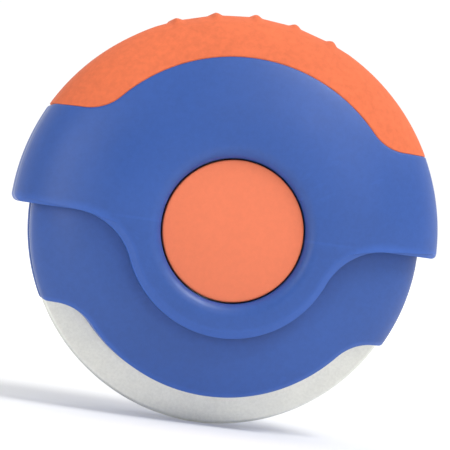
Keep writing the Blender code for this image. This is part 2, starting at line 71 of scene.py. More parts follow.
# Sizes read from the frame
WHEEL_LOW, WHEEL_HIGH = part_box("tracing_wheel")
AXLE_HEIGHT = (WHEEL_LOW.z + WHEEL_HIGH.z) / 2
WHEEL_RADIUS = size_mm("tracing_wheel").x / 2
WHEEL_THICKNESS = size_mm("tracing_wheel").y
HANDLE_RADIUS = size_mm("front_handle").x / 2
HALF_THICKNESS = -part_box("front_handle")[0].y * 1000
GUARD_RADIUS = size_mm("front_guard").x / 2
GUARD_FLOOR = -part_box("front_guard")[1].y * 1000
GUARD_HEIGHT = -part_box("front_guard")[0].y * 1000
BUTTON_RADIUS = size_mm("push_button").x / 2
BUTTON_CROWN_HEIGHT = -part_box("push_button")[0].y * 1000
BUTTON_BOTTOM = -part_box("push_button")[1].y * 1000
BOLT_HEAD_RADIUS = size_mm("axle_bolt").x / 2
BOLT_HEAD_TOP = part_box("axle_bolt")[1].y * 1000

# Domed shells
PLATEAU_RADIUS = 13.0
RIM_HEIGHT = 3.2
HANDLE_WALL = 2.1
HANDLE_RIM_WALL = 2.0
GUARD_WALL = 1.8
PARTING = 0.05
PARTING_ROUND = 0.12
GUARD_FLOOR_ROUND = 0.2
FLOOR_ROUND_SHARE = 0.3

# Wave edges: lobe radius about the axle, distance of the shoulder line from it, fillet radius
HANDLE_WAVE = (16.2, 0.0, 10.0)
GUARD_WAVE = (25.4, 14.4, 7.5)
GRIP_WAVE = (26.3, 15.4, 7.0)
HANDLE_CORNER = 1.3
GUARD_CORNER = 1.0
GRIP_TIP_CORNER = 1.0

# Eased edges: width in from the wall and depth down from the top
HANDLE_BEVEL = (0.95, 0.42)
GUARD_BEVEL = (0.5, 0.25)
NO_BEVEL = (0.0, 0.0)

# Rounding of the grip's edge, the least width of any bevel, and the reach of the highlight painted along
# the eased edges, in bevel widths
GRIP_EDGE_ROUND = 0.28
BEVEL_LEAST = 0.25
PAINTED_HIGHLIGHT_REACH = 1.6

# Handle hub
ROLL_DEPTH = 1.7
BORE_RADIUS = BUTTON_RADIUS + 0.22
COLLAR_RADIUS = 12.6
FRONT_COLLAR_END = 9.0
REAR_COLLAR_END = 5.7
REAR_CUP_RADIUS = 11.05
REAR_FLOOR = 9.2
REAR_BOSS_RADIUS = 6.0
REAR_BOSS_END = 4.6
RECESS_RADIUS = BOLT_HEAD_RADIUS + 0.3
RECESS_FLOOR = 10.6
AXLE_BORE = 2.3

# Guard hub and wheel
GUARD_BORE = 13.75
WEB_TOP = 3.2
WEB_FLOOR = 1.7
WEB_BORE = 4.3
WHEEL_BORE = 10.4
WHEEL_EDGE_SHARE = 0.8

# Button
BUTTON_CROWN = 0.5
BUTTON_EDGE_ROUND = 0.3
BUTTON_UNDERSIDE = 9.8
SKIRT_RADIUS = 9.3

# Button spring
SPRING_WIRE = 0.3
SPRING_RADIUS = 6.6
SPRING_TURNS = 2

# Axle bolt
BOLT_HEAD_LOW = 11.6
BOLT_RADIUS = 2.0
BOLT_TIP = 7.9
COIN_SLOT_DEPTH = 0.8
COIN_SLOT_HALF_WIDTH = 0.85
COIN_SLOT_REACH = 9
SLOT_EDGE_BEVEL = 0.00012
SLOT_EDGE_ANGLE = math.radians(50)

# Roundings shared by the recess of the bolt's head and the head in it
FACE_ROUND = 0.35
INNER_ROUND = 0.1

# Soft grip
GRIP_THICKNESS = 1.0
GRIP_GAP = 0.06
RIB_COUNT = 5
RIB_PITCH = math.radians(10.8)
RIB_PROUD = 0.38
RIB_HALF_WIDTH = 1.0
RIB_REACH = (4.6, 7.4)
RIDGE_POWER = 1.5
COLUMN_EASE = 0.2

# How far a cutting tool runs past the face it opens
BEYOND = 1.0
SLOT_BEYOND = 2

# Mesh fineness
SPACING = 0.3
DOME_RINGS = 40
ROLL_STEPS = 14
CROWN_STEPS = 24
CAVITY_STEPS = 24
DOME_SAMPLES = 400
GRIP_COLUMNS = 420
GRIP_ROWS = 96
TURNED_STEPS = 192
WHEEL_STEPS = 360
BOLT_STEPS = 96
COIL_STEPS = 48
WIRE_STEPS = 16
MERGE = 1e-7
SHARP_ANGLE = math.radians(35)


# ---------------------------------------------------------------- mesh tools

def to_world(points, side=1):
    """Face frame in millimetres to row frame in metres; side -1 is the rear."""
    x, y, z = np.asarray(points, float).T
    return np.column_stack([x, -side * z, y]) / 1000 + np.array([0.0, 0.0, AXLE_HEIGHT])


def make_object(name, vertices, faces):
    """Object with merged vertices and outward normals."""
    mesh = bpy.data.meshes.new(name)
    mesh.from_pydata([tuple(vertex) for vertex in vertices], [], faces)
    bm = bmesh.new()
    bm.from_mesh(mesh)
    bmesh.ops.remove_doubles(bm, verts=bm.verts, dist=MERGE)
    bmesh.ops.dissolve_degenerate(bm, edges=bm.edges, dist=MERGE)
    loose = [edge for edge in bm.edges if not edge.link_faces]
    bmesh.ops.delete(bm, geom=loose, context="EDGES")
    bmesh.ops.recalc_face_normals(bm, faces=bm.faces)
    bm.to_mesh(mesh)
    bm.free()
    body = bpy.data.objects.new(name, mesh)
    bpy.context.scene.collection.objects.link(body)
    return body


def ring_faces(ring_count, around, closed):
    """Quads between neighbouring rings; when closed, the last ring also joins the first."""
    faces = []
    last = ring_count if closed else ring_count - 1
    for ring in range(last):
        here, after = ring * around, ((ring + 1) % ring_count) * around
        for index in range(around):
            beside = (index + 1) % around
            faces.append((here + index, here + beside, after + beside, after + index))
    return faces


def loft(name, rings, side=1):
    """Closed body through rings of points; the last ring joins the first."""
    around = len(rings[0])
    return make_object(name, to_world(np.vstack(rings), side), ring_faces(len(rings), around, True))


def turned(name, profile, around=TURNED_STEPS, side=1):
    """Body of revolution from (radius, height) points; one that starts on the axis is solid."""
    angles = np.arange(around) * 2 * math.pi / around
    rings = [np.column_stack([radius * np.cos(angles), radius * np.sin(angles), np.full(around, height)])
             for radius, height in profile]
    solid = profile[0][0] == 0
    faces = ring_faces(len(rings), around, not solid)
    return make_object(name, to_world(np.vstack(rings), side), faces)


def rounded(corners, radii, steps=5):
    """Open (radius, height) profile with some of its corners rounded."""
    points = [corners[0]]
    for before, corner, after, radius in zip(corners, corners[1:], corners[2:], radii):
        corner = np.array(corner)
        if radius == 0:
            points.append(tuple(corner))
            continue
        back, ahead = np.array(before) - corner, np.array(after) - corner
        back, ahead = back / np.linalg.norm(back), ahead / np.linalg.norm(ahead)
        half = math.acos(np.clip(back @ ahead, -1, 1)) / 2
        start = corner + back * radius / math.tan(half)
        end = corner + ahead * radius / math.tan(half)
        middle = (back + ahead) / np.linalg.norm(back + ahead)
        centre = corner + middle * radius / math.sin(half)
        first, second = start - centre, end - centre
        sweep = math.pi - 2 * half
        for step in range(steps + 1):
            part = step / steps
            mixed = first * math.sin((1 - part) * sweep) + second * math.sin(part * sweep)
            points.append(tuple(centre + mixed / math.sin(sweep)))
    return points + [corners[-1]]


def combine(body, tool, operation):
    """Cuts or joins a body with a tool, and drops the tool."""
    modifier = body.modifiers.new(operation.lower(), "BOOLEAN")
    modifier.operation = operation
    modifier.solver = "MANIFOLD"
    modifier.object = tool
    depsgraph = bpy.context.evaluated_depsgraph_get()
    result = bpy.data.meshes.new_from_object(body.evaluated_get(depsgraph))
    body.modifiers.clear()
    body.data = result
    bpy.data.objects.remove(tool)
    return body


def finish_piece(body, material, node):
    """Shades a piece smooth up to the sharp angle, gives it its material and lets it stand for a node."""
    body.data.materials.clear()
    body.data.materials.append(material)
    body.data.shade_smooth()
    body.data.set_sharp_from_angle(angle=SHARP_ANGLE)
    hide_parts(node)
    return body


# ---------------------------------------------------------------- outlines

def arc(centre, radius, start, end, soft):
    """Samples (x, y, outward x, outward y, softness) round an arc; a clockwise one is concave.

    Softness is 0 on the upright rim and 1 where an edge is rounded over, and may change along the arc.
    """
    count = max(3, round(abs(end - start) * radius / SPACING))
    part = np.arange(count) / count
    angles = start + (end - start) * part
    sense = 1 if end > start else -1
    out_x, out_y = np.cos(angles), np.sin(angles)
    softness = soft[0] + (soft[1] - soft[0]) * part * part * (3 - 2 * part)
    return np.column_stack([centre[0] + radius * out_x, centre[1] + radius * out_y,
                            sense * out_x, sense * out_y, softness])


def line(start, end, soft):
    """Samples along a straight stretch."""
    start, end = np.array(start), np.array(end)
    length = np.linalg.norm(end - start)
    count = max(2, round(length / SPACING))
    along = (end - start) / length
    points = start + np.outer(np.arange(count) / count, end - start)
    out = np.tile([along[1], -along[0]], (count, 1))
    return np.column_stack([points, out, np.full(count, soft)])


def wave_fillet(wave):
    """Centre of a wave's right fillet, as (across, towards the lobe), and the angle to it."""
    lobe, shoulder, fillet = wave
    across = math.sqrt((lobe + fillet) ** 2 - (shoulder + fillet) ** 2)
    return across, shoulder + fillet, math.atan2(shoulder + fillet, across)


def outline(rim, low_wave, corner, high_wave=None, high_soft=0.0):
    """Samples counterclockwise round a shell, from the bottom of its lower lobe.

    The lower edge is a wave with its lobe down. The upper edge is the rim, or a wave with its lobe up.
    """
    lobe, shoulder, fillet = low_wave
    across, down, lean = wave_fillet(low_wave)
    corner_x = math.sqrt((rim - corner) ** 2 - (corner - shoulder) ** 2)
    corner_end = math.atan2(corner - shoulder, corner_x)
    half = [
        arc((0, 0), lobe, -math.pi / 2, -lean, (1, 1)),
        arc((across, -down), fillet, math.pi - lean, math.pi / 2, (1, 1)),
        line((across, -shoulder), (corner_x, -shoulder), 1),
        arc((corner_x, corner - shoulder), corner, -math.pi / 2, corner_end, (1, 0)),
    ]
    if high_wave is None:
        half.append(arc((0, 0), rim, corner_end, math.pi / 2, (0, 0)))
        top = [0.0, rim, 0.0, 1.0, 0.0]
    else:
        lobe, shoulder, fillet = high_wave
        across, rise, lean = wave_fillet(high_wave)
        tip_y = shoulder - GRIP_TIP_CORNER
        tip_x = math.sqrt((rim - GRIP_TIP_CORNER) ** 2 - tip_y ** 2)
        tip_start = math.atan2(tip_y, tip_x)
        half += [
            arc((0, 0), rim, corner_end, tip_start, (0, 0)),
            arc((tip_x, tip_y), GRIP_TIP_CORNER, tip_start, math.pi / 2, (0, high_soft)),
            line((tip_x, shoulder), (across, shoulder), high_soft),
            arc((across, rise), fillet, -math.pi / 2, lean - math.pi, (high_soft, high_soft)),
            arc((0, 0), lobe, lean, math.pi / 2, (high_soft, high_soft)),
        ]
        top = [0.0, lobe, 0.0, 1.0, high_soft]
    right = np.vstack(half + [np.array([top])])
    left = right[1:-1][::-1] * np.array([-1, 1, -1, 1, 1])
    return np.vstack([right, left])


def inset_wave(wave, inset):
    """The same wave moved towards its lobe's centre, with its round stretches kept concentric."""
    return wave[0] - inset, wave[1] - inset, wave[2] + inset


def dome_height(radius, rim, height):
    """Height of a shell: flat over the hub, then a quarter ellipse down to the rim."""
    part = np.clip((radius - PLATEAU_RADIUS) / (rim - PLATEAU_RADIUS), 0, 1)
    return RIM_HEIGHT + (height - RIM_HEIGHT) * np.sqrt(1 - part * part)


# Section of an eased edge: how far in from the wall and down from the top, as parts of its bevel
BEVEL_PROFILE = rounded([(0.0, 1.6), (0.0, 1.0), (1.0, 0.0), (1.6, 0.0)], (0.16, 0.3), 4)[1:-1]


def hub_angles(samples):
    """Angle on the hub for each outline sample: half its own angle and half its share of the length."""
    points = samples[:, :2]
    own = np.unwrap(np.arctan2(points[:, 1], points[:, 0]))
    steps = np.linalg.norm(np.diff(points, axis=0, append=points[:1]), axis=1)
    share = (np.cumsum(steps) - steps) / steps.sum() * 2 * math.pi
    return (own + share + own[0]) / 2


def domed_solid(name, samples, rim, height, edge_bevel, hub, floor, floor_round=0.0, side=1):
    """Solid with an outline's wall, an eased top edge, a dome and a hub profile of (radius, height).

    edge_bevel is the width and the depth of the top edge's bevel. The dome ends at the hub profile's first
    point. The rim's own rounding is the dome's, so only soft stretches of the outline are rounded over.
    """
    points, out, soft = samples[:, :2], samples[:, 2:4], samples[:, 4]
    width, drop = edge_bevel
    reach = np.maximum(width * soft, BEVEL_LEAST)

    def edge_ring(inset, fall):
        moved = points - out * (reach * inset)[:, None]
        top = dome_height(np.hypot(*moved.T), rim, height) - drop * soft * fall
        return np.column_stack([moved, top])

    level = np.full(len(points), floor)
    rings = [np.column_stack([points - out * floor_round, level])]
    if floor_round:
        rings.append(np.column_stack([points - out * floor_round * FLOOR_ROUND_SHARE,
                                      level + floor_round * FLOOR_ROUND_SHARE]))
        rings.append(np.column_stack([points, level + floor_round]))
    rings += [edge_ring(inset, fall) for inset, fall in BEVEL_PROFILE]
    angles = hub_angles(samples)
    direction = np.column_stack([np.cos(angles), np.sin(angles)])
    outer, inner = rings[-1][:, :2], direction * hub[0][0]
    for step in range(1, DOME_RINGS + 1):
        part = math.cos(math.pi / 2 * step / DOME_RINGS)
        moved = inner + (outer - inner) * part
        rings.append(np.column_stack([moved, dome_height(np.hypot(*moved.T), rim, height)]))
    for radius, up in hub[1:]:
        rings.append(np.column_stack([direction * radius, np.full(len(points), up)]))
    return loft(name, rings, side)


def mark_painted_highlight(body, samples, width):
    """Stores on each vertex how near it is to the eased stretches of an outline, from 0 to 1; this masks
    the highlight painted into the colour there.
    """
    edge = samples[samples[:, 4] > 0.5, :2]
    places = np.empty(len(body.data.vertices) * 3)
    body.data.vertices.foreach_get("co", places)
    x, _, z = places.reshape(-1, 3).T * 1000
    up = z - AXLE_HEIGHT * 1000
    nearest = np.hypot(x[:, None] - edge[:, 0], up[:, None] - edge[:, 1]).min(axis=1)
    painted_highlight = body.data.attributes.new("painted_highlight", "FLOAT", "POINT")
    painted_highlight.data.foreach_set("value", np.clip(PAINTED_HIGHLIGHT_REACH - nearest / width, 0, 1).astype(np.float32))
    return body


# ---------------------------------------------------------------- handle

def handle_shell(name, side, hub, cavity):
    """Shell whose skin stops at the grip's edge, over a lower ledge that carries the grip."""
    grip_softness = GRIP_EDGE_ROUND / HANDLE_BEVEL[0]
    samples = outline(HANDLE_RADIUS, HANDLE_WAVE, HANDLE_CORNER, GRIP_WAVE, grip_softness)
    skin = domed_solid(name, samples, HANDLE_RADIUS, HALF_THICKNESS, HANDLE_BEVEL, hub,
                       PARTING, PARTING_ROUND, side)
    sunk = GRIP_THICKNESS + GRIP_GAP
    ledge_outline = outline(HANDLE_RADIUS - sunk, inset_wave(HANDLE_WAVE, sunk), HANDLE_CORNER)
    ledge_hub = [(PLATEAU_RADIUS, HALF_THICKNESS - sunk), (PLATEAU_RADIUS, PARTING * 2)]
    ledge = domed_solid("ledge", ledge_outline, HANDLE_RADIUS - sunk, HALF_THICKNESS - sunk, NO_BEVEL,
                        ledge_hub, PARTING * 2, 0.0, side)
    combine(skin, ledge, "UNION")
    shell = combine(skin, turned("cavity", cavity, side=side), "DIFFERENCE")
    # Marks the eased edges where a highlight is painted into the colour
    return mark_painted_highlight(shell, samples, HANDLE_BEVEL[0])


def dome_profile(rim, height, steps=CAVITY_STEPS):
    """(radius, height) points from the rim up to the plateau."""
    angles = np.linspace(math.pi / 2, 0, steps)
    reach, rise = rim - PLATEAU_RADIUS, height - RIM_HEIGHT
    return [(PLATEAU_RADIUS + reach * math.sin(angle), RIM_HEIGHT + rise * math.cos(angle))
            for angle in angles]


def handle_cavity(hub):
    """Space inside a handle shell, from the axis out to the rim and back to a hub profile."""
    inner = HANDLE_RADIUS - HANDLE_RIM_WALL
    return [(0.0, -BEYOND), (inner, -BEYOND)] + dome_profile(inner, HALF_THICKNESS - HANDLE_WALL) + hub


def front_shell():
    """Front of the handle, whose face rolls over into the button's bore."""
    roll = []
    for angle in np.linspace(0, math.pi / 2, ROLL_STEPS):
        roll.append((PLATEAU_RADIUS - (PLATEAU_RADIUS - BORE_RADIUS) * math.sin(angle),
                     HALF_THICKNESS - ROLL_DEPTH * (1 - math.cos(angle))))
    ceiling = HALF_THICKNESS - HANDLE_WALL
    cavity = handle_cavity([(COLLAR_RADIUS, ceiling), (COLLAR_RADIUS, FRONT_COLLAR_END),
                            (0.0, FRONT_COLLAR_END)])
    return handle_shell("front_handle_shell", 1, roll + [(BORE_RADIUS, PARTING)], cavity)


def rear_shell():
    """Rear of the handle, with the recess for the axle bolt's head."""
    hub = [(PLATEAU_RADIUS, HALF_THICKNESS), (RECESS_RADIUS, HALF_THICKNESS), (RECESS_RADIUS, RECESS_FLOOR),
           (AXLE_BORE, RECESS_FLOOR), (AXLE_BORE, PARTING)]
    ceiling = HALF_THICKNESS - HANDLE_WALL
    cavity = handle_cavity([(COLLAR_RADIUS, ceiling), (COLLAR_RADIUS, REAR_COLLAR_END),
                            (REAR_CUP_RADIUS, REAR_COLLAR_END), (REAR_CUP_RADIUS, REAR_FLOOR),
                            (REAR_BOSS_RADIUS, REAR_FLOOR), (REAR_BOSS_RADIUS, REAR_BOSS_END),
                            (0.0, REAR_BOSS_END)])
    return handle_shell("rear_handle_shell", -1, rounded(hub, (FACE_ROUND, INNER_ROUND, 0.0)), cavity)


def rib_relief(angle, along):
    """How far the grip's crest stands out of a round rim, from the angle and the way round the rim.

    Between two ribs the crest is straight, and each rib is a low round ridge that fades onto the dome.
    """
    place = (angle - math.pi / 2) / RIB_PITCH
    half_span = RIB_COUNT // 2
    inside = np.clip(half_span + 0.5 - np.abs(place), 0, 0.5) * 2
    off_centre = (place - np.floor(place) - 0.5) * RIB_PITCH
    chord = HANDLE_RADIUS * (math.cos(RIB_PITCH / 2) / np.cos(off_centre) - 1) * inside
    nearest = np.clip(np.round(place), -half_span, half_span)
    across = np.abs(place - nearest) * RIB_PITCH * HANDLE_RADIUS / RIB_HALF_WIDTH
    ridge = RIB_PROUD * np.clip(1 - across * across, 0, 1) ** RIDGE_POWER
    near, far = RIB_REACH
    fade = np.clip((far - np.abs(along)) / (far - near), 0, 1)
    return (chord + ridge) * fade * fade * (3 - 2 * fade)


def grip_edge_radius(angle):
    """Distance from the axle to the grip's lower edge, at angles from one tip to the other."""
    lobe, shoulder, fillet = GRIP_WAVE
    across, rise, lean = wave_fillet(GRIP_WAVE)
    folded = math.pi / 2 - np.abs(angle - math.pi / 2)
    reach = math.hypot(across, rise)
    lean_off = folded - lean
    half_chord = np.sqrt(np.maximum(fillet ** 2 - (reach * np.sin(lean_off)) ** 2, 0))
    round_part = reach * np.cos(lean_off) - half_chord
    straight = shoulder / np.sin(folded)
    start = math.atan2(shoulder, across)
    return np.where(folded > lean, lobe, np.where(folded > start, round_part, straight))


def palm_grip():
    """Saddle over the crest: columns by angle, each running over the rim from front edge to rear edge."""
    tip = math.asin((GRIP_WAVE[1] + GRIP_GAP) / HANDLE_RADIUS)
    ease = (1 - np.cos(np.linspace(0, math.pi, GRIP_COLUMNS))) / 2
    column_share = (1 - COLUMN_EASE) * np.linspace(0, 1, GRIP_COLUMNS) + COLUMN_EASE * ease
    angles = tip + (math.pi - 2 * tip) * column_share
    dome = np.array(dome_profile(HANDLE_RADIUS, HALF_THICKNESS, DOME_SAMPLES))
    steps = np.linalg.norm(np.diff(dome, axis=0), axis=1)
    along = RIM_HEIGHT + np.concatenate([[0], np.cumsum(steps)])
    edge_along = np.interp(grip_edge_radius(angles) + GRIP_GAP, dome[::-1, 0], along[::-1])
    share = np.sin(np.linspace(-math.pi / 2, math.pi / 2, GRIP_ROWS))
    across = edge_along[:, None] * share[None, :]
    over = np.abs(across)
    radius = np.where(over < RIM_HEIGHT, HANDLE_RADIUS, np.interp(over, along, dome[:, 0]))
    height = np.sign(across) * np.where(over < RIM_HEIGHT, over, np.interp(over, along, dome[:, 1]))
    slope = np.arcsin(np.clip((radius - PLATEAU_RADIUS) / (HANDLE_RADIUS - PLATEAU_RADIUS), 0, 1))
    lean_out = np.sin(slope) * (HALF_THICKNESS - RIM_HEIGHT)
    lean_up = np.cos(slope) * (HANDLE_RADIUS - PLATEAU_RADIUS)
    norm = np.hypot(lean_out, lean_up)
    out_r, out_z = lean_out / norm, np.sign(across) * lean_up / norm
    from_edge = np.minimum(edge_along[:, None] - over, ((angles - tip) * HANDLE_RADIUS)[:, None])
    from_edge = np.minimum(from_edge, ((math.pi - tip - angles) * HANDLE_RADIUS)[:, None])
    near = np.clip(1 - from_edge / GRIP_EDGE_ROUND, 0, 1)
    rise = rib_relief(angles[:, None], across) - GRIP_EDGE_ROUND * (1 - np.sqrt(1 - near * near))
    outer = (radius + rise * out_r, height + rise * out_z)
    inner = (radius - GRIP_THICKNESS * out_r, height - GRIP_THICKNESS * out_z)
    cos, sin = np.cos(angles), np.sin(angles)
    around = 2 * GRIP_ROWS
    rings = []
    for column in range(GRIP_COLUMNS):
        ring = []
        for r, z in (outer, (inner[0][:, ::-1], inner[1][:, ::-1])):
            ring.append(np.column_stack([r[column] * cos[column], r[column] * sin[column], z[column]]))
        rings.append(np.vstack(ring))
    faces = ring_faces(GRIP_COLUMNS, around, False)
    for ring in (0, GRIP_COLUMNS - 1):
        first = ring * around
        for row in range(GRIP_ROWS - 1):
            opposite = around - 1 - row
            faces.append((first + row, first + row + 1, first + opposite - 1, first + opposite))
    return make_object("palm_grip_cover", to_world(np.vstack(rings)), faces)


# ---------------------------------------------------------------- guard, wheel, button, bolt

def guard_cover(name, side, hub, cavity_hub):
    """Domed guard cover with a wall all round, which is open towards the wheel."""
    samples = outline(GUARD_RADIUS, GUARD_WAVE, GUARD_CORNER)
    cover = domed_solid(name, samples, GUARD_RADIUS, GUARD_HEIGHT, GUARD_BEVEL, hub, GUARD_FLOOR,
                        GUARD_FLOOR_ROUND, side)
    inner_radius = GUARD_RADIUS - GUARD_WALL
    inner = outline(inner_radius, inset_wave(GUARD_WAVE, GUARD_WALL), GUARD_CORNER)
    cavity = domed_solid("cavity", inner, inner_radius, GUARD_HEIGHT - GUARD_WALL, NO_BEVEL, cavity_hub,
                         GUARD_FLOOR - BEYOND, 0.0, side)
    # Marks the eased edges where a highlight is painted into the colour
    return mark_painted_highlight(combine(cover, cavity, "DIFFERENCE"), samples, GUARD_BEVEL[0])


def front_guard_cover():
    """Front of the guard, with a plain bore round the handle's collar."""
    ceiling = GUARD_HEIGHT - GUARD_WALL
    hub = [(GUARD_BORE, GUARD_HEIGHT), (GUARD_BORE, GUARD_FLOOR)]
    return guard_cover("front_guard_cover", 1, hub, [(0.0, ceiling), (0.0, GUARD_FLOOR - BEYOND)])


def rear_guard_cover():
    """Rear of the guard, whose hub is a cup closed by a web with a bore for the axle sleeve."""
    cup = GUARD_BORE + GUARD_WALL
    hub = [(GUARD_BORE, GUARD_HEIGHT), (GUARD_BORE, WEB_TOP), (WEB_BORE, WEB_TOP), (WEB_BORE, WEB_FLOOR),
           (cup, WEB_FLOOR), (cup, GUARD_FLOOR)]
    ceiling = dome_height(cup, GUARD_RADIUS - GUARD_WALL, GUARD_HEIGHT - GUARD_WALL)
    return guard_cover("rear_guard_cover", -1, hub, [(cup, float(ceiling)), (cup, GUARD_FLOOR - BEYOND)])


def wheel_disc():
    """Thin disc with a smooth round edge."""
    half = WHEEL_THICKNESS / 2
    edge = half * WHEEL_EDGE_SHARE
    corners = [(WHEEL_BORE, half), (WHEEL_RADIUS, half), (WHEEL_RADIUS, -half), (WHEEL_BORE, -half)]
    return turned("smooth_wheel", rounded(corners, (edge, edge), 6), around=WHEEL_STEPS)


def button_cap():
    """Low crowned cap with an eased edge and a skirt."""
    edge = BUTTON_CROWN_HEIGHT - BUTTON_CROWN
    crown = []
    for part in np.linspace(0, 1, CROWN_STEPS):
        crown.append((BUTTON_RADIUS * part, edge + BUTTON_CROWN * (1 - part * part)))
    corners = [crown[-2], crown[-1], (BUTTON_RADIUS, BUTTON_BOTTOM), (SKIRT_RADIUS, BUTTON_BOTTOM),
               (SKIRT_RADIUS, BUTTON_UNDERSIDE), (0.0, BUTTON_UNDERSIDE)]
    return turned("button_cap", crown[:-2] + rounded(corners, (BUTTON_EDGE_ROUND, 0, 0, 0)))


def spring_coil():
    """Coil of round wire under the button. The real one shortens as the button goes in; this one is built
    at a single length.
    """
    steps = SPRING_TURNS * COIL_STEPS
    low, high = -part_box("button_spring")[1].y * 1000, -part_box("button_spring")[0].y * 1000
    turns = np.linspace(0, SPRING_TURNS * 2 * math.pi, steps)
    rise = high - low - 2 * SPRING_WIRE
    slope = math.atan2(rise, SPRING_TURNS * 2 * math.pi * SPRING_RADIUS)
    section = np.arange(WIRE_STEPS) * 2 * math.pi / WIRE_STEPS
    rings = []
    for turn in turns:
        outward = SPRING_RADIUS + SPRING_WIRE * np.cos(section)
        upward = SPRING_WIRE * np.sin(section)
        back = upward * math.sin(slope)
        x = outward * math.cos(turn) + back * math.sin(turn)
        y = outward * math.sin(turn) - back * math.cos(turn)
        middle = low + SPRING_WIRE + rise * turn / turns[-1]
        rings.append(np.column_stack([x, y, middle + upward * math.cos(slope)]))
    ends = [tuple(range(WIRE_STEPS)), tuple(range((steps - 1) * WIRE_STEPS, steps * WIRE_STEPS))]
    faces = ring_faces(steps, WIRE_STEPS, False) + ends
    return make_object("button_coil", to_world(np.vstack(rings)), faces)


def bolt_with_slot():
    """Axle bolt with a flat head, a rounded rim and a coin slot."""
    top = BOLT_HEAD_TOP
    corners = [(0.0, top), (BOLT_HEAD_RADIUS, top), (BOLT_HEAD_RADIUS, BOLT_HEAD_LOW),
               (BOLT_RADIUS, BOLT_HEAD_LOW), (BOLT_RADIUS, -BOLT_TIP), (0.0, -BOLT_TIP)]
    profile = rounded(corners, (FACE_ROUND, INNER_ROUND, 0, 0))
    bolt = turned("axle_bolt_head", profile, around=BOLT_STEPS, side=-1)
    across, half = COIN_SLOT_REACH, COIN_SLOT_HALF_WIDTH
    box = np.array([(x, y, z) for z in (top - COIN_SLOT_DEPTH, top + SLOT_BEYOND)
                    for x, y in ((-across, -half), (across, -half), (across, half), (-across, half))])
    box_faces = ring_faces(2, 4, False) + [(0, 1, 2, 3), (4, 5, 6, 7)]
    combine(bolt, make_object("coin_slot", to_world(box, -1), box_faces), "DIFFERENCE")
    bevel = bolt.modifiers.new("eased_edges", "BEVEL")
    bevel.width = SLOT_EDGE_BEVEL
    bevel.segments = 2
    bevel.limit_method = "ANGLE"
    bevel.angle_limit = SLOT_EDGE_ANGLE
    return bolt


# ---------------------------------------------------------------- materials

BLUE = (0.023, 0.081, 0.325)
SOFT_ORANGE = (0.680, 0.147, 0.057)
HARD_ORANGE = (0.750, 0.179, 0.083)
BLACK = (0.02, 0.02, 0.022)
NYLON = (0.75, 0.74, 0.69)
PALE_STEEL = (0.80, 0.80, 0.745)
ZINC = (0.52, 0.53, 0.55)
DARK_STEEL = (0.30, 0.30, 0.31)

# How much lighter or darker a colour gets: PALE where it is rubbed, in the painted edge highlight and on a
# weld line
PALE = 1.8
SPECKLE_PALE = 1.35
LINE_SHADES = (0.97, 1.02)
METAL_SPECKLE_SHADES = (0.85, 1.12)
SMUDGE_SHADE = 0.75

# Strength of each effect on the colour
SPECKLE_STRENGTH = 2.2
PATCH_LEAST = 0.15
SMUDGE_SHARE = 0.1
METAL_SPECKLE_SHARE = 0.3

# Noise scales per metre; the speckle's is a share of the grain's
DRIFT_SCALE = 55
CLOUD_SCALE = 1000
PATCH_SCALE = 260
HANDLING_SCALE = 120
SMUDGE_SCALE = 90
METAL_SPECKLE_SCALE = 2600
SPECKLE_SHARE = 0.45

# Parts of a noise's range that are spread over the whole of an effect
WIDE = (0.3, 0.7)
MIDDLE = (0.35, 0.65)
SPECKS = (0.4, 0.62)
PATCHES = (0.42, 0.62)
SMUDGES = (0.45, 0.7)
EDGE_POINTINESS = (0.515, 0.56)

# How far roughness goes below and above a material's own
PLASTIC_SHEEN = (0.04, 0.05)
METAL_SHEEN = (0.05, 0.07)

# Fine relief: strengths, depth of a metal's finishing lines and how fast they change round the axle
GRAIN_STRENGTH = 0.55
LINE_STRENGTH = 0.25
LINE_DEPTH = 0.00001
LINE_DRIFT = 0.0006

# Weld line: where it starts to fade and where it ends, across it and outward from the axle
WELD_HALF_WIDTH = (0.0001, 0.0003)
WELD_REACH = (0.016, 0.020)


def add_node(tree, kind, values=None, **settings):
    """Adds a node, sets its attributes, and sets or links its inputs."""
    node = tree.nodes.new("ShaderNode" + kind)
    for key, value in settings.items():
        setattr(node, key, value)
    for key, value in (values or {}).items():
        if isinstance(value, bpy.types.NodeSocket):
            tree.links.new(value, node.inputs[key])
        else:
            node.inputs[key].default_value = value
    return node


def start_material(name):
    """New material with its node tree, its shader and the object coordinates."""
    material = bpy.data.materials.new(name)
    material.use_nodes = True
    tree = material.node_tree
    shader = tree.nodes["Principled BSDF"]
    place = add_node(tree, "TexCoord").outputs["Object"]
    return material, tree, shader, place


def noise(tree, place, scale, detail=2.0, rough=0.5):
    """Noise from 0 to 1."""
    values = {"Vector": place, "Scale": scale, "Detail": detail, "Roughness": rough}
    return add_node(tree, "TexNoise", values).outputs["Fac"]


def spread(tree, value, low, high, to_low, to_high, **settings):
    """Maps a value from one range to another, and stops at the second range's ends."""
    values = {"Value": value, "From Min": low, "From Max": high, "To Min": to_low, "To Max": to_high}
    return add_node(tree, "MapRange", values, **settings).outputs["Result"]


def multiplied(tree, first, second):
    """Product of two values."""
    return add_node(tree, "Math", {0: first, 1: second}, operation="MULTIPLY").outputs[0]


def blend_colours(tree, amount, first, second):
    """The first colour at amount 0 and the second at amount 1."""
    node = add_node(tree, "Mix", data_type="RGBA")
    for socket, value in ((0, amount), (6, first), (7, second)):
        if isinstance(value, bpy.types.NodeSocket):
            tree.links.new(value, node.inputs[socket])
        else:
            node.inputs[socket].default_value = value if socket == 0 else (*value, 1.0)
    return node.outputs[2]


def scaled(colour, factor):
    """A colour made lighter or darker, with its channels kept to 1."""
    return tuple(min(1.0, channel * factor) for channel in colour)


def shaded(tree, amount, colour, shades):
    """A colour that goes from the first shade at amount 0 to the second at amount 1."""
    return blend_colours(tree, amount, scaled(colour, shades[0]), scaled(colour, shades[1]))


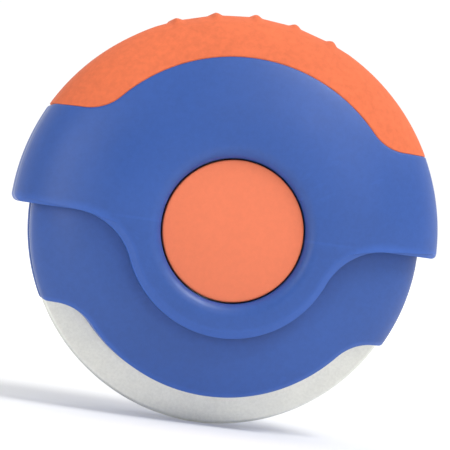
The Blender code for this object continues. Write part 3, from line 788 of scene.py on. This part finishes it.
def from_axle(tree, place):
    """Distance from the axle, angle about it and height over it, in metres and radians."""
    parts = add_node(tree, "SeparateXYZ", {0: place})
    up = add_node(tree, "Math", {0: parts.outputs["Z"], 1: AXLE_HEIGHT}, operation="SUBTRACT").outputs[0]
    flat = add_node(tree, "CombineXYZ", {0: parts.outputs["X"], 1: up})
    radius = add_node(tree, "VectorMath", {0: flat.outputs[0]}, operation="LENGTH").outputs["Value"]
    angle = add_node(tree, "Math", {0: up, 1: parts.outputs["X"]}, operation="ARCTAN2").outputs[0]
    return radius, angle, up


def weld_line(tree, place, base, colour, strength):
    """Faint pale line beside the hub at the axle's height, where two streams of plastic met."""
    radius, _, up = from_axle(tree, place)
    off = add_node(tree, "Math", {0: up}, operation="ABSOLUTE").outputs[0]
    thin = spread(tree, off, *WELD_HALF_WIDTH, strength, 0.0)
    near = spread(tree, radius, *WELD_REACH, 1.0, 0.0)
    return blend_colours(tree, multiplied(tree, thin, near), base, scaled(colour, PALE))


def rubbed_edges(tree, place, base, colour, wear):
    """Paler colour in patches along the sharp edges."""
    pointiness = add_node(tree, "NewGeometry").outputs["Pointiness"]
    edge = spread(tree, pointiness, *EDGE_POINTINESS, 0.0, 1.0)
    patches = spread(tree, noise(tree, place, PATCH_SCALE, 4, 0.7), *PATCHES, PATCH_LEAST, 1.0)
    rubbed = multiplied(tree, multiplied(tree, edge, patches), wear)
    return blend_colours(tree, rubbed, base, scaled(colour, PALE))


def moulded(name, colour, roughness, grain, grain_depth, mottle=0.05, wear=0.12, specular=0.5, cloud=0.02,
            painted_highlight_strength=0.0, weld=0.0):
    """Moulded plastic or rubber: clouds, speckle, fine grain, rubbed edges, a highlight painted along the
    eased edges, and a weld line.
    """
    material, tree, shader, place = start_material(name)
    drift = spread(tree, noise(tree, place, DRIFT_SCALE, 3), *MIDDLE, 0.0, 1.0)
    base = shaded(tree, drift, colour, (1 - mottle, 1 + mottle))
    clouds = spread(tree, noise(tree, place, CLOUD_SCALE, 3, 0.55), *MIDDLE, 1 - cloud, 1 + cloud)
    base = add_node(tree, "VectorMath", {0: base, "Scale": clouds}, operation="SCALE").outputs[0]
    specks = noise(tree, place, grain * SPECKLE_SHARE, 2, 0.6)
    speckle = spread(tree, specks, *SPECKS, 0.0, mottle * SPECKLE_STRENGTH)
    base = blend_colours(tree, speckle, base, scaled(colour, SPECKLE_PALE))
    base = rubbed_edges(tree, place, base, colour, wear)
    # Painted highlight: the colour turns paler along the eased edges, as if light caught them
    painted_highlight = add_node(tree, "Attribute", attribute_name="painted_highlight").outputs["Fac"]
    base = blend_colours(tree, multiplied(tree, painted_highlight, painted_highlight_strength), base, scaled(colour, PALE))
    base = weld_line(tree, place, base, colour, weld)
    tree.links.new(base, shader.inputs["Base Color"])
    handling = noise(tree, place, HANDLING_SCALE, 4, 0.65)
    rough = spread(tree, handling, *WIDE, roughness - PLASTIC_SHEEN[0], roughness + PLASTIC_SHEEN[1])
    tree.links.new(rough, shader.inputs["Roughness"])
    shader.inputs["Specular IOR Level"].default_value = specular
    coarse = noise(tree, place, grain, 3, 0.6)
    relief = {"Strength": GRAIN_STRENGTH, "Distance": grain_depth, "Height": coarse}
    bump = add_node(tree, "Bump", relief)
    tree.links.new(bump.outputs["Normal"], shader.inputs["Normal"])
    return material


def turned_metal(name, colour, roughness, line_scale):
    """Metal with fine concentric finishing lines, soft smudges and speckle."""
    material, tree, shader, place = start_material(name)
    radius, angle, _ = from_axle(tree, place)
    along = add_node(tree, "CombineXYZ", {0: radius, 1: multiplied(tree, angle, LINE_DRIFT)})
    lines = noise(tree, along.outputs[0], line_scale, 4, 0.7)
    smudge = noise(tree, place, SMUDGE_SCALE, 4, 0.6)
    speckle = spread(tree, noise(tree, place, METAL_SPECKLE_SCALE, 3, 0.6), *MIDDLE, 0.0, 1.0)
    line_mix = spread(tree, lines, *WIDE, 0.0, 1.0)
    base = shaded(tree, line_mix, colour, LINE_SHADES)
    smudged = spread(tree, smudge, *SMUDGES, 0.0, SMUDGE_SHARE)
    base = blend_colours(tree, smudged, base, scaled(colour, SMUDGE_SHADE))
    speckled = shaded(tree, speckle, colour, METAL_SPECKLE_SHADES)
    base = blend_colours(tree, METAL_SPECKLE_SHARE, base, speckled)
    tree.links.new(base, shader.inputs["Base Color"])
    rough = spread(tree, smudge, *WIDE, roughness - METAL_SHEEN[0], roughness + METAL_SHEEN[1])
    tree.links.new(rough, shader.inputs["Roughness"])
    shader.inputs["Metallic"].default_value = 1.0
    bump = add_node(tree, "Bump", {"Strength": LINE_STRENGTH, "Distance": LINE_DEPTH, "Height": lines})
    tree.links.new(bump.outputs["Normal"], shader.inputs["Normal"])
    return material


def make_materials():
    """Materials by slot name.

    The numbers after a colour are the roughness, the grain or lines per metre, and the grain's depth.
    """
    return {
        # The blue plastic has a highlight painted along its eased edges
        "blue_plastic": moulded("satin_blue_plastic", BLUE, 0.42, 5200, 0.000012, cloud=0.04,
                                painted_highlight_strength=0.35, weld=0.14),
        "orange_rubber": moulded("soft_orange_rubber", SOFT_ORANGE, 0.78, 3600, 0.00003, wear=0.05,
                                 specular=0.3, cloud=0.05),
        "orange_plastic": moulded("matt_orange_plastic", HARD_ORANGE, 0.55, 6000, 0.000008, mottle=0.02,
                                  wear=0.08, specular=0.4),
        "black_acetal": moulded("black_acetal", BLACK, 0.35, 7000, 0.000004),
        "natural_nylon": moulded("natural_nylon", NYLON, 0.5, 5000, 0.000006),
        "satin_steel": turned_metal("satin_steel", PALE_STEEL, 0.38, 2600),
        "zinc_plate": turned_metal("zinc_plate", ZINC, 0.3, 1800),
        "spring_steel": turned_metal("spring_steel", DARK_STEEL, 0.35, 1800),
    }


# ---------------------------------------------------------------- studio

VIEW_AZIMUTH = math.radians(-7.4)
VIEW_ELEVATION = math.radians(0.0)
VIEW_ROLL = math.radians(8.0)
VIEW_DISTANCE = 0.45
VIEW_WIDTH = 0.0696
AIM = (0.00015, 0.0, 0.00075)
SENSOR_WIDTH = 36.0
CLIP_START = 0.01
CLIP_END = 20.0
WHITE = (1.0, 1.0, 1.0, 1.0)

# Brightness of the tent at its open front, its sides and its back, and where it changes between them
TENT_FRONT = 0.2
TENT_SIDE = 0.6
TENT_BACK = 1.03
FRONT_TO_SIDE = (-0.97, -0.86)
SIDE_TO_BACK = (-0.2, 0.4)

# Floor: half its width, its two shades, its finish, and its glow over a range of depths
FLOOR_REACH = 20
FLOOR_SHADES = (0.83, 0.85)
FLOOR_SCALE = 3
FLOOR_ROUGHNESS = 0.9
FLOOR_SPECULAR = 0.2
GLOW_DEPTHS = (0.08, 0.6)
GLOW = (0.06, 0.5)

# Soft lights: name, place, size and power
LIGHTS = (
    ("key_light", (0.50, -0.36, 0.84), (0.40, 0.40), 6.4),
    ("glint_light", (0.36, -0.86, 0.42), (0.3, 0.3), 1.0),
    ("left_light", (-0.72, -0.68, 0.15), (0.35, 0.8), 2.6),
)
LIGHT_AIM = (0.0, 0.0, 0.03)


def add_camera():
    """Camera before the front face, a little to its left and rolled."""
    camera_data = bpy.data.cameras.new("camera")
    camera_data.sensor_width = SENSOR_WIDTH
    camera_data.lens = SENSOR_WIDTH * VIEW_DISTANCE / VIEW_WIDTH
    camera_data.clip_start = CLIP_START
    camera_data.clip_end = CLIP_END
    camera = bpy.data.objects.new("camera", camera_data)
    back = Vector((math.sin(VIEW_AZIMUTH) * math.cos(VIEW_ELEVATION),
                   -math.cos(VIEW_AZIMUTH) * math.cos(VIEW_ELEVATION), math.sin(VIEW_ELEVATION)))
    target = Vector((0.0, 0.0, AXLE_HEIGHT)) + Vector(AIM)
    camera.location = target + back * VIEW_DISTANCE
    upright = back.to_track_quat("Z", "Y")
    camera.rotation_mode = "QUATERNION"
    camera.rotation_quaternion = upright @ Quaternion((0, 0, 1), VIEW_ROLL)
    bpy.context.scene.collection.objects.link(camera)
    bpy.context.scene.camera = camera


def add_area_light(name, place, size, power):
    """Rectangular light that faces the object."""
    light = bpy.data.lights.new(name, "AREA")
    light.shape = "RECTANGLE"
    light.size, light.size_y = size
    light.energy = power
    lamp = bpy.data.objects.new(name, light)
    lamp.location = place
    lamp.rotation_mode = "QUATERNION"
    lamp.rotation_quaternion = (Vector(place) - Vector(LIGHT_AIM)).to_track_quat("Z", "Y")
    bpy.context.scene.collection.objects.link(lamp)


def add_floor():
    """Pale matt floor that brightens behind the object."""
    material, tree, shader, place = start_material("white_floor")
    tint = spread(tree, noise(tree, place, FLOOR_SCALE, 2), *WIDE, 0.0, 1.0)
    tree.links.new(shaded(tree, tint, WHITE[:3], FLOOR_SHADES), shader.inputs["Base Color"])
    shader.inputs["Roughness"].default_value = FLOOR_ROUGHNESS
    shader.inputs["Specular IOR Level"].default_value = FLOOR_SPECULAR
    shader.inputs["Emission Color"].default_value = WHITE
    depth = add_node(tree, "SeparateXYZ", {0: place}).outputs["Y"]
    tree.links.new(spread(tree, depth, *GLOW_DEPTHS, *GLOW), shader.inputs["Emission Strength"])
    far = FLOOR_REACH
    mesh = bpy.data.meshes.new("floor")
    mesh.from_pydata([(-far, -far, 0), (far, -far, 0), (far, far, 0), (-far, far, 0)], [], [(0, 1, 2, 3)])
    mesh.materials.append(material)
    floor = bpy.data.objects.new("floor", mesh)
    bpy.context.scene.collection.objects.link(floor)


def add_tent():
    """White surroundings that are dim at the front and brightest at the back."""
    world = bpy.data.worlds.new("white_tent")
    world.use_nodes = True
    tree = world.node_tree
    place = add_node(tree, "TexCoord").outputs["Generated"]
    along = add_node(tree, "SeparateXYZ", {0: place}).outputs["Y"]
    smooth = {"interpolation_type": "SMOOTHSTEP"}
    sides = spread(tree, along, *FRONT_TO_SIDE, TENT_FRONT, TENT_SIDE, **smooth)
    back = spread(tree, along, *SIDE_TO_BACK, 0.0, TENT_BACK - TENT_SIDE, **smooth)
    total = add_node(tree, "Math", {0: sides, 1: back}, operation="ADD").outputs[0]
    tree.links.new(total, tree.nodes["Background"].inputs["Strength"])
    tree.nodes["Background"].inputs["Color"].default_value = WHITE
    bpy.context.scene.world = world


def add_studio():
    """Floor, tent and soft lights."""
    add_floor()
    add_tent()
    for light in LIGHTS:
        add_area_light(*light)
    bpy.context.scene.view_settings.view_transform = "Standard"


# ---------------------------------------------------------------- assembly

def main():
    """Builds the fine pieces over their nodes, gives every other node its material, and adds the studio."""
    materials = make_materials()
    slots = {part["node"]: part["material_slot"] for part in frame["record"]["subparts"]}
    makers = {
        "front_handle": (front_shell, "handle"),
        "rear_handle": (rear_shell, "handle"),
        "palm_grip": (palm_grip, "handle"),
        "axle_bolt": (bolt_with_slot, "handle"),
        "front_guard": (front_guard_cover, "guard"),
        "rear_guard": (rear_guard_cover, "guard"),
        "tracing_wheel": (wheel_disc, "wheel"),
        "push_button": (button_cap, "button"),
    }
    for node, (make, owner) in makers.items():
        slot_name = slots[node]
        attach(finish_piece(make(), materials[slot_name], node), owner)
    coil = finish_piece(spring_coil(), materials["spring_steel"], "button_spring")
    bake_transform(coil)
    for node, body in frame["nodes"].items():
        if node not in makers and node != "button_spring":
            body.data.materials.clear()
            body.data.materials.append(materials[slots[node]])
    add_studio()
    add_camera()


main()
